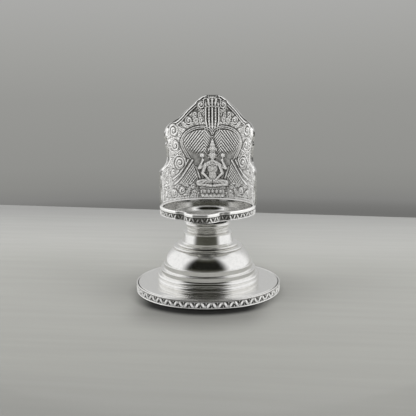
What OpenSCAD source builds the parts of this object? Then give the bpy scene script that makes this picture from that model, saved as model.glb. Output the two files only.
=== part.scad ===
// Standing oil lamp in bright white metal: a spun foot, a ringed stem, a shallow
// bowl with a wick spout, and a half-round stamped back plate.
// The base of the foot lies at z = 0 on the lamp's axis, and the spout points to -Y.

/* [Foot] */
// Diameter over the rolled edge at the bottom of the foot
foot_d = 68; // [62:0.5:76]
// Height of that rolled edge
roll_h = 0.6; // [0.4:0.1:0.9]
// Height of the foot's upright edge
foot_edge_h = 3.9; // [3.4:0.1:5]
// Lean of the foot's edge, inwards at its top
foot_lean = 0.5; // [0:0.1:1]
// Thickness of the sheet that the foot and stem are spun from
sheet_t = 0.8; // [0.6:0.1:1]
// Half width of the low raised line pressed round the flange
flange_line_w = 1.2; // [0.8:0.1:2]
// Height of each of the two rings that stand on the flange
plinth_ring_h = 2.1; // [1.6:0.1:2.6]
// How far the middle step stands in from those rings
step_in = 1.6; // [1:0.1:2.4]
// Height of the middle step
step_h = 2.3; // [1.8:0.1:3]
// How far the step under the dome stands in from the middle step
dome_step_in = 1.4; // [0.9:0.1:2]
// Height of the step under the dome
dome_step_h = 2.6; // [2:0.1:3.2]
// How far the dome stands in from the step under it
dome_in = 0.5; // [0.3:0.1:1]
// Height of the dome
dome_h = 6.7; // [5.5:0.1:7.4]
// Radius of the dome's curve
dome_curve_r = 11; // [10.5:0.1:13]
// Height of the dome's foot above the centre of that curve
dome_drop = 2.1; // [1.6:0.1:2.6]
// Height of each collar ring on the dome
collar_h = 1.35; // [1:0.05:1.8]
// How far each collar ring stands in from the one below
collar_in = 2; // [1.6:0.1:2.4]
// Depth of the groove between rings
groove_depth = 0.55; // [0.3:0.05:0.8]
// Depth of the patterned strip's grains
grain_depth = 0.35; // [0.2:0.05:0.45]
// Number of grains in each row round the foot
foot_grains = 84; // [60:2:110]
// Thickness of the strip round the foot, grains included
foot_strip_t = 0.6; // [0.55:0.05:0.9]
// Radius of the wire bead along the top of that strip
foot_bead_r = 0.4; // [0.3:0.05:0.6]
// Thickness of the disc that closes the foot
base_disc_t = 0.6; // [0.4:0.1:1]
// Height of the disc's underside above the table
base_disc_z = 0.5; // [0.3:0.1:1]
// Diameter of the access hole in the disc
access_d = 18; // [12:0.5:24]

/* [Stem] */
// How far the bell's bottom stands in from the upper collar ring
bell_in = 2; // [1.2:0.1:3]
// How far the bell draws in from its bottom to its top
bell_taper = 1.2; // [0.8:0.1:1.8]
// Height of the bell
bell_h = 4.9; // [4:0.1:6]
// How far the bell's top edge stands out from the grooved neck
bell_edge = 1.2; // [0.9:0.1:1.8]
// Diameter of the grooved neck above the bell
neck_d = 19.8; // [18:0.2:20.6]
// Height of the grooved neck
neck_h = 2.6; // [2:0.1:3.4]
// Number of rings on the grooved neck
neck_rings = 2; // [1:1:3]
// How far the swell under the bowl stands out from the neck
swell_out = 0.5; // [0.3:0.1:0.9]
// Height of the swell
swell_h = 2.3; // [1.8:0.1:3]

/* [Bowl] */
// Diameter over the patterned band round the bowl
bowl_d = 44.6; // [42:0.2:46]
// Height of the bowl from the stem's top to its rim
bowl_h = 7.6; // [7.2:0.1:9]
// Thickness of the bowl's sheet
bowl_t = 0.8; // [0.6:0.1:1]
// Height of the patterned band under the lip
bowl_band_h = 3.1; // [2.6:0.1:3.6]
// Thickness of the patterned band, grains included
bowl_band_t = 0.6; // [0.55:0.05:0.8]
// How far the spout's tip stands out from the round pan
spout_out = 5.7; // [4.5:0.1:7]
// Radius of the spout's rounded tongue
spout_r = 8.2; // [7.6:0.1:9]
// Radius of the hollow crease on each side of the spout
crease_r = 1.6; // [1.3:0.1:2]
// Gap between the spout's side and each crease
crease_gap = 0.7; // [0.5:0.1:1]
// Radius of the bright lip wire
lip_r = 0.6; // [0.4:0.05:0.8]
// How far the flat under the bowl stands in from the swell
bowl_flat_in = 1.4; // [1:0.1:2.2]
// Number of grains in each row of the bowl's band, over a full turn
bowl_grains = 60; // [40:2:80]

/* [Back plate] */
// How far the back of the half-round plate stands out from the bowl's band
plate_out = 0.4; // [0.2:0.05:0.55]
// Height of the plate from the lip to its crest
plate_h = 50.6; // [44:0.2:56]
// Thickness of the plain backing sheet
backing_t = 0.6; // [0.4:0.1:0.9]
// Thickness of the stamped front sheet
relief_t = 0.45; // [0.35:0.05:0.7]
// Height of the tallest figure work above the sheet
relief_h = 1.7; // [1:0.1:2.2]
// Half width of the halo's border rib
rib_w = 0.85; // [0.6:0.05:1.2]
// Pitch of the slanted ribs inside the halo
halo_pitch = 2.1; // [1.8:0.1:3.5]
// Slant of those ribs
rib_turn = 50; // [40:1:60]
// Radius of the scroll eyes along the plate's sides
scroll_r = 3.1; // [2.4:0.1:3.6]
// Radius of the flower studs along the lower edges
stud_flower_r = 2.1; // [1.5:0.1:2.6]
// Half width of the leaves beside and above the halo
leaf_w = 1.3; // [1:0.1:1.6]
// Number of petals across the figure's lotus seat
seat_petals = 7; // [5:2:9]

/* [Fixings] */
// Diameter of the tie stud
stud_d = 3.9; // [2.9:0.1:4.4]
// Running clearance round the stud, on the radius
stud_clear = 0.05; // [0.05:0.05:0.3]
// Diameter of the boss brazed under the bowl
boss_d = 9; // [7.5:0.5:10]
// Diameter of the washer under the foot's crown
washer_d = 12; // [10:0.5:14]
// Thickness of the washer
washer_t = 0.8; // [0.5:0.1:1.5]
// Width of the nut across its flats
nut_af = 7; // [6.6:0.1:8]
// Height of the nut
nut_h = 3.2; // [2.4:0.1:4]

/* [Hidden] */

$fn = 96;
// Overrun of every cut
cut = 1;
// Gap left between pieces that are soldered along a curved face
seat_gap = 0.05;
// Radius of the small roundings of the spun rings
ring_round = 0.3;
// Gap round the boss where it passes the neck
boss_clear = 0.2;
// Thread length that stands out below the nut
stud_tail = 1.2;
// Depth of the land left above the end of the stud
boss_land = 0.9;

// Heights of the spun work, from the table up
flange_z = foot_edge_h + ring_round;
plinth_z = flange_z + 2 * plinth_ring_h;
step_z = plinth_z + step_h;
dome_z = step_z + dome_step_h;
shoulder_z = dome_z + dome_h;
crown_z = shoulder_z + 2 * collar_h;
bell_z = crown_z + bell_h;
neck_z = bell_z + neck_h;
bowl_z = neck_z + swell_h;
rim_z = bowl_z + bowl_h;

// Radii of the spun work, from the neck down and outwards
neck_r = neck_d / 2;
swell_r = neck_r + swell_out;
bell_top_r = neck_r + bell_edge;
bell_low_r = bell_top_r + bell_taper;
collar_high_r = bell_low_r + bell_in;
collar_low_r = collar_high_r + collar_in;
dome_mid_r = collar_low_r - sqrt(pow(dome_curve_r, 2) - pow(dome_h + dome_drop, 2));
dome_r = dome_mid_r + sqrt(pow(dome_curve_r, 2) - pow(dome_drop, 2));
dome_step_r = dome_r + dome_in;
step_r = dome_step_r + dome_step_in;
plinth_r = step_r + step_in;
edge_r = foot_d / 2 - foot_strip_t;
flange_r = edge_r - foot_lean;
bead_z = foot_edge_h - foot_bead_r / 2;
bore_r = stud_d / 2 + stud_clear;
boss_hole_r = boss_d / 2 + boss_clear;
bowl_r = bowl_d / 2;
bowl_flat_r = swell_r - bowl_flat_in;
spout_reach = bowl_r + spout_out;
spout_y = spout_r - spout_reach;
lip_z = rim_z - lip_r;
band_z = rim_z - lip_r - bowl_band_h;
plate_r = bowl_r + plate_out;
backing_r = plate_r - backing_t;
relief_r = backing_r - relief_t;
quarter_turn = backing_r * PI / 2;

// Colour of the bright white metal, and of the plainer inner pieces
bright = "gainsboro";
inner = "darkgray";

// Points of an arc about a centre, from one angle to another
function arc(centre, r, from, to, steps = 10) =
    [for (i = [0:steps]) let (a = from + (to - from) * i / steps)
        [centre.x + r * cos(a), centre.y + r * sin(a)]];

// Section of one rolled ring: a half-round bulge between two heights
function ring_section(r, low, high, depth, steps = 8) =
    [for (i = [0:steps]) let (share = i / steps)
        [r - depth + depth * sin(180 * share), low + (high - low) * share]];

// Foot: the spun outline from the rolled edge to the crown, and the hollow one sheet inside it
module foot_shell() {
    dome_mid = [dome_mid_r, dome_z - dome_drop];
    dome_low = asin(dome_drop / dome_curve_r);
    dome_high = asin((dome_drop + dome_h) / dome_curve_r);
    line_r = (flange_r + plinth_r) / 2 + flange_line_w;
    hollow_r = flange_r - sheet_t;
    ring_hollow_r = plinth_r - groove_depth - sheet_t;
    crown_hollow_r = collar_high_r - collar_h / 2 - sheet_t;
    color(bright)
    difference() {
        rotate_extrude()
            polygon(concat(
                [[0, 0]],
                arc([foot_d / 2 - roll_h / 2, roll_h / 2], roll_h / 2, -90, 90, 6),
                [[edge_r, roll_h], [flange_r, foot_edge_h]],
                arc([flange_r - ring_round, flange_z - ring_round], ring_round, 0, 90, 4),
                [[line_r + flange_line_w, flange_z], [line_r, flange_z + ring_round / 2],
                 [line_r - flange_line_w, flange_z]],
                ring_section(plinth_r, flange_z, flange_z + plinth_ring_h, groove_depth),
                ring_section(plinth_r, flange_z + plinth_ring_h, plinth_z, groove_depth),
                arc([step_r - ring_round, step_z - ring_round], ring_round, 0, 90, 4),
                arc([dome_step_r - ring_round, dome_z - ring_round], ring_round, 0, 90, 4),
                arc(dome_mid, dome_curve_r, dome_low, dome_high, 14),
                ring_section(collar_low_r, shoulder_z, shoulder_z + collar_h, collar_h / 2),
                ring_section(collar_high_r, shoulder_z + collar_h, crown_z, collar_h / 2),
                [[0, crown_z]]));
        rotate_extrude()
            polygon(concat(
                [[0, -cut], [hollow_r, -cut], [hollow_r, foot_edge_h - sheet_t],
                 [ring_hollow_r, flange_z - sheet_t], [ring_hollow_r, plinth_z - sheet_t],
                 [step_r - sheet_t, plinth_z - sheet_t], [step_r - sheet_t, step_z - sheet_t],
                 [dome_r - sheet_t, step_z - sheet_t]],
                arc(dome_mid, dome_curve_r - sheet_t, dome_low, dome_high, 14),
                [[crown_hollow_r, shoulder_z - sheet_t / 2], [crown_hollow_r, crown_z - sheet_t],
                 [0, crown_z - sheet_t]]));
        translate([0, 0, crown_z - sheet_t - cut]) cylinder(r = bore_r, h = sheet_t + 2 * cut);
    }
}

// Outline of a ring whose rim is pressed into round grains
module grain_ring(r, inner_r, count, depth, turn) {
    steps = 4;
    difference() {
        polygon([for (i = [0:count * steps - 1]) let (a = 360 * (i + turn * steps) / (count * steps))
            (r - depth * pow(cos(180 * i / steps), 2)) * [cos(a), sin(a)]]);
        circle(r = inner_r, $fn = 4 * count);
    }
}

// Stamped strip soldered round the foot's edge: two staggered rows of grains
module foot_strip() {
    row_h = (bead_z - foot_bead_r - roll_h) / 2;
    color(bright)
    for (row = [0:1])
        translate([0, 0, roll_h + row * row_h])
            linear_extrude(row_h)
                grain_ring(foot_d / 2 - row * foot_lean / 2, edge_r, foot_grains, grain_depth, row / 2);
}

// Round wire soldered along the top of the strip, against the foot's edge
module foot_bead() {
    color(bright)
    translate([0, 0, bead_z])
        rotate_extrude()
            translate([edge_r + seat_gap + foot_bead_r - foot_lean / 2, 0]) circle(r = foot_bead_r);
}

// Flat disc pressed into the foot from below, with a hole that gives access to the nut
module foot_base_disc() {
    color(inner)
    translate([0, 0, base_disc_z])
        difference() {
            cylinder(r = flange_r - sheet_t - seat_gap, h = base_disc_t);
            translate([0, 0, -cut]) cylinder(d = access_d, h = base_disc_t + 2 * cut);
        }
}

// Bell of the stem with its grooved neck, spun hollow and open below
module stem_bell() {
    ring_h = neck_h / neck_rings;
    color(bright)
    difference() {
        rotate_extrude()
            polygon(concat(
                [[0, crown_z], [bell_low_r, crown_z], [bell_top_r, bell_z - 2 * ring_round]],
                arc([bell_top_r, bell_z - ring_round], ring_round, -90, 90, 6),
                [for (i = [0:neck_rings - 1])
                    each ring_section(neck_r, bell_z + i * ring_h, bell_z + (i + 1) * ring_h,
                                      groove_depth)],
                [[0, neck_z]]));
        rotate_extrude()
            polygon([[0, crown_z - cut], [bell_low_r - sheet_t, crown_z - cut],
                     [bell_low_r - sheet_t, crown_z], [bell_top_r - sheet_t, bell_z - sheet_t],
                     [neck_r - groove_depth - sheet_t, bell_z - sheet_t],
                     [neck_r - groove_depth - sheet_t, neck_z - sheet_t], [0, neck_z - sheet_t]]);
        translate([0, 0, neck_z - sheet_t - cut]) cylinder(r = boss_hole_r, h = sheet_t + 2 * cut);
    }
}

// Swelling cup between the neck and the bowl
module stem_swell() {
    color(bright)
    rotate_extrude()
        difference() {
            polygon(concat(
                [[boss_hole_r, neck_z]],
                ring_section(swell_r, neck_z, bowl_z, groove_depth),
                [[boss_hole_r, bowl_z]]));
            translate([boss_hole_r - cut, neck_z + sheet_t])
                square([swell_r - groove_depth - sheet_t - boss_hole_r + cut,
                        swell_h - 2 * sheet_t]);
        }
}

// Plan of the bowl grown or shrunk by a margin: round pan, round tongue, two creases
module bowl_plan(grow) {
    crease_out = bowl_r + crease_r * 2 / 3;
    crease_turn = asin((spout_r + crease_r + crease_gap) / crease_out);
    difference() {
        union() {
            circle(r = bowl_r + grow);
            translate([0, spout_y]) circle(r = spout_r + grow);
        }
        for (side = [-1, 1])
            rotate(side * crease_turn)
                translate([0, -crease_out]) circle(r = crease_r - grow);
    }
}

// Band of the bowl's wall between two margins and two heights
module bowl_wall(outer_grow, inner_grow, low, high) {
    translate([0, 0, low])
        linear_extrude(high - low)
            difference() {
                bowl_plan(outer_grow);
                bowl_plan(inner_grow);
            }
}

// Height of the bowl's underside at a distance from the axis, as a dish that flattens outwards
function underside(r) =
    let (share = max(0, (r - bowl_flat_r) / (bowl_r - bowl_flat_r)))
    bowl_z + (band_z - bowl_z) * sin(90 * min(1, share));

// Solid of the bowl up to its rim, set in from its outside by one margin
module bowl_block(margin, floor_rise, top) {
    steps = 12;
    outer = spout_reach + cut;
    intersection() {
        translate([0, 0, bowl_z]) linear_extrude(top - bowl_z) bowl_plan(-margin);
        rotate_extrude()
            polygon(concat(
                [[0, top + cut], [0, bowl_z + floor_rise]],
                [for (i = [0:steps])
                    let (r = bowl_flat_r + (bowl_r - bowl_flat_r) * i / steps)
                    [r, underside(r) + floor_rise]],
                [[outer, band_z + floor_rise], [outer, top + cut]]));
    }
}

// Pressed bowl: one wall thick all over, open at the top and through the spout
module bowl_dish() {
    color(bright)
    difference() {
        bowl_block(bowl_band_t, 0, rim_z - lip_r);
        bowl_block(bowl_band_t + bowl_t, bowl_t, rim_z + cut);
    }
}

// Stamped band round the bowl's wall: a thin strip with two staggered rows of grains
module bowl_band() {
    row_h = bowl_band_h / 2;
    back_t = bowl_band_t - grain_depth;
    spout_turn = 360 / bowl_grains * bowl_r / spout_r;
    spout_side = floor(90 / spout_turn);
    color(bright)
    for (row = [0:1])
        translate([0, 0, band_z + row * row_h])
            linear_extrude(row_h)
                difference() {
                    bowl_plan(0);
                    bowl_plan(-bowl_band_t);
                    // Hollows between the grains, round the pan and round the spout
                    difference() {
                        for (i = [0:bowl_grains - 1])
                            rotate(360 * (i + row / 2) / bowl_grains)
                                translate([0, bowl_r + back_t]) circle(r = bowl_band_t, $fn = 24);
                        translate([0, spout_y]) circle(r = spout_r + crease_r);
                    }
                    for (i = [-spout_side:spout_side])
                        translate([0, spout_y])
                            rotate((i + row / 2) * spout_turn)
                                translate([0, -spout_r - back_t]) circle(r = bowl_band_t, $fn = 24);
                }
}

// Bright rolled lip along the bowl's edge
module bowl_lip() {
    flat = lip_r / 2;
    color(bright) {
        bowl_wall(flat, -bowl_band_t - bowl_t + flat, lip_z, rim_z - flat / 2);
        bowl_wall(0, -bowl_band_t - bowl_t + lip_r, rim_z - flat / 2, rim_z);
    }
}

// Turned boss brazed under the bowl; it centres the stem and takes the stud
module bowl_boss() {
    color(inner)
    difference() {
        translate([0, 0, bell_z]) cylinder(d = boss_d, h = bowl_z - bell_z);
        translate([0, 0, bell_z - cut])
            cylinder(r = bore_r, h = bowl_z - bell_z - boss_land + cut);
    }
}

// Outline of the plate, as shares of a quarter turn and of the plate's height
outline_shares = [
    [1, 0], [1, 0.306], [0.83, 0.336], [0.745, 0.375], [0.725, 0.42], [0.74, 0.5],
    [0.775, 0.533], [0.745, 0.572], [0.79, 0.61], [0.785, 0.655], [0.74, 0.7],
    [0.665, 0.735], [0.555, 0.76], [0.465, 0.8], [0.37, 0.86], [0.28, 0.91],
    [0.2, 0.957], [0.145, 0.988], [0.09, 1]];

// Reach of the plate to each side at a share of its height
function reach(height_share) = lookup(height_share, [for (p = outline_shares) [p.y, p.x]]);

// Plain half-round sheet behind the stamped one
module plate_backing() {
    half = [for (p = outline_shares)
        [p.x < 1 ? plate_r * sin(90 * p.x) : plate_r + cut, rim_z + p.y * plate_h]];
    color(bright)
    intersection() {
        translate([0, 0, rim_z])
            difference() {
                cylinder(r = plate_r, h = plate_h);
                translate([0, 0, -cut]) cylinder(r = backing_r, h = plate_h + 2 * cut);
            }
        translate([0, plate_r + cut, 0])
            rotate([90, 0, 0])
                linear_extrude(plate_r + cut)
                    polygon(concat(half,
                        [for (i = [len(half) - 1:-1:0]) [-half[i].x, half[i].y]]));
    }
}

// Smooth hump of a given half width
function hump(d, w) = d < w ? (1 + cos(180 * d / w)) / 2 : 0;

// Distance of a point from a line and from a path of lines
function line_gap(p, a, b) =
    let (v = b - a, k = max(0, min(1, (p - a) * v / (v * v)))) norm(p - a - k * v);
function path_gap(p, path) = min([for (i = [0:len(path) - 2]) line_gap(p, path[i], path[i + 1])]);

// True where a point lies inside a closed path
function inside(p, path, i = 0, odd = false) =
    i == len(path) ? odd :
    let (a = path[i], b = path[(i + 1) % len(path)],
         crosses = (a.y > p.y) != (b.y > p.y) &&
                   p.x < a.x + (b.x - a.x) * (p.y - a.y) / (b.y - a.y))
    inside(p, path, i + 1, crosses ? !odd : odd);

// Place on the unrolled plate from shares of a quarter turn and of the height
function place(share) = [share.x * quarter_turn, share.y * plate_h];

// Heart-shaped halo, from its cusp round one lobe to the side of the seated figure
halo_shares = [
    [0, 0.632], [0.04, 0.665], [0.1, 0.694], [0.19, 0.703], [0.29, 0.69], [0.385, 0.655],
    [0.45, 0.605], [0.475, 0.55], [0.45, 0.49], [0.39, 0.42], [0.33, 0.35], [0.27, 0.285]];
halo = [for (share = halo_shares) place(share)];
halo_area = concat(halo, [place([0, 0.1])]);

// Ribbed leaf below the halo, and the ribbons that run down and outwards over it
leaf_shares = [[0.2, 0.19], [0.29, 0.34], [0.37, 0.29], [0.46, 0.2], [0.44, 0.15]];
leaf_area = [for (share = leaf_shares) place(share)];
ribbon_low_shares = [[0.3, 0.37], [0.42, 0.26], [0.52, 0.19], [0.62, 0.15]];
ribbon_high_shares = [[0.36, 0.375], [0.47, 0.285], [0.56, 0.22], [0.66, 0.18]];
// Curved bead line under the figure's seat
seat_line_shares = [[0, 0.09], [0.08, 0.096], [0.15, 0.112], [0.2, 0.135]];

// Scroll eyes up the side of the plate, studs down its lower edge, curls beside the crest
scroll_shares = [[0.5, 0.37], [0.6, 0.53], [0.64, 0.67], [0.36, 0.77]];
stud_shares = [[0.8, 0.27], [0.78, 0.15], [0.8, 0.05], [0.17, 0.92], [0.63, 0.05]];

// Fluted column above the cusp and fan at the crest: half width, bottom and top
column_shares = [0.11, 0.68, 0.86];
fan_shares = [0.1, 0.88, 0.985];

// Seated figure, its rounded masses: centre, half width, half height and part of the relief
mass_shares = [
    [[0, 0.209], 0.066, 0.045, 0.85], [[0, 0.292], 0.086, 0.057, 0.95], [[0, 0.427], 0.05, 0.044, 1],
    [[0, 0.478], 0.069, 0.018, 0.9], [[0, 0.514], 0.046, 0.03, 0.8], [[0, 0.551], 0.022, 0.028, 0.65],
    [[0.138, 0.37], 0.026, 0.024, 0.75], [[0.153, 0.415], 0.037, 0.024, 0.65]];

// Its limbs: neck, shoulder, upper arm, forearm, raised arm and its forearm, thigh and shin;
// each is a start, an end, a half width as a share of the plate's height, and a part of the relief
limb_shares = [
    [[0, 0.346], [0, 0.385], 0.02, 0.8], [[0, 0.336], [0.092, 0.328], 0.025, 0.85],
    [[0.101, 0.324], [0.15, 0.249], 0.022, 0.75], [[0.15, 0.245], [0.055, 0.19], 0.019, 0.95],
    [[0.104, 0.32], [0.195, 0.297], 0.019, 0.55], [[0.195, 0.297], [0.147, 0.364], 0.018, 0.6],
    [[0.035, 0.166], [0.199, 0.15], 0.034, 0.9], [[0.199, 0.138], [0.017, 0.119], 0.023, 1]];

// Its lotus seat: half width, bottom and top
seat_shares = [0.18, 0.008, 0.082];

// Leaves above the halo, down the sides and along the lower edge: root and tip
leaf_spray_shares = [
    [[0.22, 0.715], [0.3, 0.838]], [[0.29, 0.71], [0.4, 0.79]], [[0.37, 0.69], [0.49, 0.755]],
    [[0.17, 0.72], [0.2, 0.86]], [[0.42, 0.656], [0.555, 0.698]], [[0.58, 0.603], [0.78, 0.553]],
    [[0.53, 0.486], [0.73, 0.445]], [[0.67, 0.395], [0.71, 0.267]], [[0.78, 0.109], [0.91, 0.02]],
    [[0.73, 0.188], [0.67, 0.08]], [[0.4, 0.04], [0.33, 0.123]]];

// Height of a half-round form, from its middle out to its edge
function round_height(d) = d < 1 ? relief_h * sqrt(1 - d * d) : 0;

// Height of one rounded mass, and of one limb, at a place on the unrolled plate
function mass_height(p, mass) =
    let (v = p - place(mass[0]))
    mass[3] * round_height(norm([v.x / mass[1] / quarter_turn, v.y / mass[2] / plate_h]));
function limb_height(p, limb) =
    limb[3] * round_height(line_gap(p, place(limb[0]), place(limb[1])) / limb[2] / plate_h);

// Height of the lotus seat: upright petals that swell between its bottom and its top
function seat_height(p) =
    let (rise = (p.y / plate_h - seat_shares[1]) / (seat_shares[2] - seat_shares[1]),
         petal_w = 2 * seat_shares[0] * quarter_turn / seat_petals)
    rise > 0 && rise < 1 && p.x < seat_petals / 2 * petal_w ?
        relief_h * 0.65 * sin(180 * rise) * (0.4 + 0.6 * abs(cos(180 * p.x / petal_w))) : 0;

// Height of a pointed leaf with a sunk vein, from its root to its tip
function leaf_height(p, leaf) =
    let (root = place(leaf[0]), way = place(leaf[1]) - root, v = p - root,
         along = (v * way) / (way * way), across = abs(v.x * way.y - v.y * way.x) / norm(way))
    along > 0 && along < 1 ?
        round_height(across / leaf_w / sin(180 * pow(along, 0.75))) * (across < leaf_w / 4 ? 0.35 : 0.5) : 0;

// Height of a smooth ridge along a path of shares
function ridge_height(p, path_shares, part) =
    part * relief_h * hump(path_gap(p, [for (share = path_shares) place(share)]), rib_w * 1.2);

// Height of a scroll: a spiral ridge about an eye
function scroll_height(p, eye) =
    let (v = p - eye, d = norm(v), wind = atan2(v.y, v.x))
    d < scroll_r ? 0.7 * relief_h * (0.2 + 0.8 * pow(cos(180 * d / scroll_r * 1.1 - wind / 2), 2)) *
        min(1, (scroll_r - d) / rib_w + 0.2) : 0;

// Share of the plate's height below which the halo's field is plain beside the figure
halo_plain_share = 0.42;

// Height of the slanted ribs inside the halo and on the leaf below it
function rib_height(p) =
    let (phase = (p.x * sin(rib_turn) + p.y * cos(rib_turn)) / halo_pitch)
    relief_h / 3 * pow(cos(180 * phase), 2) * min(1, p.x / rib_w / 3);
function field_height(p) =
    inside(p, leaf_area) ? rib_height(p) :
    inside(p, halo_area) ? rib_height(p) * max(0, min(1, (p.y - halo_plain_share * plate_h) / halo_pitch)) : 0;

// Height of upright flutes in a block about the middle, spreading towards the top by a share
function flute_height(p, block, spread_share) =
    let (rise = (p.y / plate_h - block[1]) / (block[2] - block[1]),
         w = block[0] * quarter_turn * (1 + spread_share * rise))
    rise > 0 && rise < 1 && p.x < w ? relief_h * (0.2 + 0.3 * pow(cos(270 * p.x / w), 2)) : 0;

// Height of all the stamped work above the sheet, at a place on the unrolled plate
function relief_height(q) =
    let (p = [abs(q.x), q.y],
         rim = path_gap(p, [for (share = outline_shares) place(share)]),
         border = 0.4 * relief_h * hump(min(rim, p.y), 1.6 * rib_w),
         ridges = max(ridge_height(p, halo_shares, 0.6), ridge_height(p, ribbon_low_shares, 0.4),
                      ridge_height(p, ribbon_high_shares, 0.4), ridge_height(p, seat_line_shares, 0.8)),
         scrolls = max([for (share = scroll_shares) scroll_height(p, place(share))]),
         studs = 0.75 * relief_h * max([for (share = stud_shares)
             hump(norm(p - place(share)), stud_flower_r * 1.4)]),
         sprays = max([for (leaf = leaf_spray_shares) leaf_height(p, leaf)]),
         flutes = max(flute_height(p, column_shares, 0), flute_height(p, fan_shares, 0.3)),
         figure = max(seat_height(p), max([for (mass = mass_shares) mass_height(p, mass)]),
                      max([for (limb = limb_shares) limb_height(p, limb)])))
    max(border, ridges, scrolls, studs, sprays, flutes, figure, field_height(p));

// Share of the plate's reach at which a column of the net stands: closer in the middle
function column_share(t) = t * (0.72 + 0.28 * t * t);

// Stamped front sheet: a fine net of points whose height follows the ornament
module plate_relief() {
    columns = 84;
    rows = 63;
    coarse = 6;
    backs = columns / coarse;
    heights = [for (j = [0:rows]) j / rows];
    front = [for (j = [0:rows]) for (i = [0:columns])
        let (share = column_share(2 * i / columns - 1) * reach(heights[j]),
             r = relief_r - relief_height([share * quarter_turn, heights[j] * plate_h]))
        [r * sin(90 * share), r * cos(90 * share), rim_z + heights[j] * plate_h]];
    back = [for (j = [0:rows]) for (k = [0:backs])
        let (share = column_share(2 * k / backs - 1) * reach(heights[j]))
        [backing_r * sin(90 * share), backing_r * cos(90 * share), rim_z + heights[j] * plate_h]];
    first = len(front);
    function f(i, j) = j * (columns + 1) + i;
    function b(k, j) = first + j * (backs + 1) + k;
    color(bright)
    polyhedron(points = concat(front, back), faces = concat(
        [for (j = [0:rows - 1]) for (i = [0:columns - 1]) each i < columns / 2 ?
            [[f(i, j), f(i, j + 1), f(i + 1, j + 1)], [f(i, j), f(i + 1, j + 1), f(i + 1, j)]] :
            [[f(i, j), f(i, j + 1), f(i + 1, j)], [f(i, j + 1), f(i + 1, j + 1), f(i + 1, j)]]],
        [for (j = [0:rows - 1]) for (k = [0:backs - 1]) each
            [[b(k, j), b(k + 1, j), b(k + 1, j + 1)], [b(k, j), b(k + 1, j + 1), b(k, j + 1)]]],
        [for (j = [0:rows - 1]) each
            [[f(0, j + 1), f(0, j), b(0, j)], [f(0, j + 1), b(0, j), b(0, j + 1)],
             [f(columns, j), f(columns, j + 1), b(backs, j + 1)],
             [f(columns, j), b(backs, j + 1), b(backs, j)]]],
        [for (k = [0:backs - 1]) each concat(
            [for (i = [k * coarse:(k + 1) * coarse - 1]) each
                [[f(i, 0), f(i + 1, 0), b(k, 0)], [f(i + 1, rows), f(i, rows), b(k, rows)]]],
            [[f((k + 1) * coarse, 0), b(k + 1, 0), b(k, 0)],
             [f((k + 1) * coarse, rows), b(k, rows), b(k + 1, rows)]])]));
}

// Heights of the fixings under the foot's crown
washer_z = crown_z - sheet_t - washer_t;
nut_z = washer_z - nut_h;

// Stud screwed into the boss; it draws the bowl, stem and foot together
module tie_stud() {
    low = nut_z - stud_tail;
    color(inner) translate([0, 0, low]) cylinder(d = stud_d, h = bowl_z - boss_land - seat_gap - low);
}

// Plain washer under the crown of the foot
module tie_washer() {
    color(inner)
    translate([0, 0, washer_z])
        difference() {
            cylinder(d = washer_d, h = washer_t);
            translate([0, 0, -cut]) cylinder(r = bore_r, h = washer_t + 2 * cut);
        }
}

// Hexagon nut on the stud
module tie_nut() {
    color(inner)
    translate([0, 0, nut_z])
        difference() {
            cylinder(d = nut_af / cos(30), h = nut_h, $fn = 6);
            translate([0, 0, -cut]) cylinder(r = bore_r, h = nut_h + 2 * cut);
        }
}

foot_shell();
foot_strip();
foot_bead();
foot_base_disc();
stem_bell();
stem_swell();
bowl_dish();
bowl_band();
bowl_lip();
bowl_boss();
plate_backing();
plate_relief();
tie_stud();
tie_washer();
tie_nut();
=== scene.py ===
"""A small standing oil lamp in bright white metal, dressed in the order in which it is put together."""

from functools import partialmethod
from math import asin, cos, degrees, hypot, pi, radians, sin

import bmesh
import bpy
import numpy as np
from mathutils import Matrix, Vector


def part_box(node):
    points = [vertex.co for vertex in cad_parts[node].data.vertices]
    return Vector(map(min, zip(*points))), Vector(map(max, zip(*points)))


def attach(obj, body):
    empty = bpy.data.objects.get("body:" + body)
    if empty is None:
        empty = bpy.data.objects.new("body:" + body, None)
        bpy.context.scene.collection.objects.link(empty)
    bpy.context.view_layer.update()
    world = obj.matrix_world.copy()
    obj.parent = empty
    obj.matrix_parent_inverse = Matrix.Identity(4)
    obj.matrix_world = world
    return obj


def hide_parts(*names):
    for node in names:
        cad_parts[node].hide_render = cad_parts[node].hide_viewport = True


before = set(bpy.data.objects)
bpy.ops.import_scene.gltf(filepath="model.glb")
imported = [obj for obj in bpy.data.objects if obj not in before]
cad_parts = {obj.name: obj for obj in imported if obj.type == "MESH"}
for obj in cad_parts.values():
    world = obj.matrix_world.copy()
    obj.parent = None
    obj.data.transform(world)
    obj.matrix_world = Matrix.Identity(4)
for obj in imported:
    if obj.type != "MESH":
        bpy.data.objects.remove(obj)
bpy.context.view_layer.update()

# The view: the camera stands a little to the lamp's right, level with the plate's crest,
# and looks down on the spout.
camera_distance = 0.297
camera_height = 0.0887
camera_turn = radians(7)
camera_aim = radians(-0.03)
camera_pitch = radians(9.6)
camera_roll = radians(-0.45)
camera_lens = 55.7


def placed(name, data):
    """Puts a new object with this data into the scene"""
    made = bpy.data.objects.new(name, data)
    bpy.context.scene.collection.objects.link(made)
    return made


eye = placed("camera", bpy.data.cameras.new("camera"))
eye.data.lens = camera_lens
eye.matrix_world = (
    Matrix.Rotation(camera_turn, 4, "Z") @ Matrix.Translation((0, -camera_distance, camera_height))
    @ Matrix.Rotation(camera_aim, 4, "Z") @ Matrix.Rotation(pi / 2 - camera_pitch, 4, "X")
    @ Matrix.Rotation(camera_roll, 4, "Z"))
bpy.context.scene.camera = eye
bpy.context.scene.view_settings.view_transform = "Standard"


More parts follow.
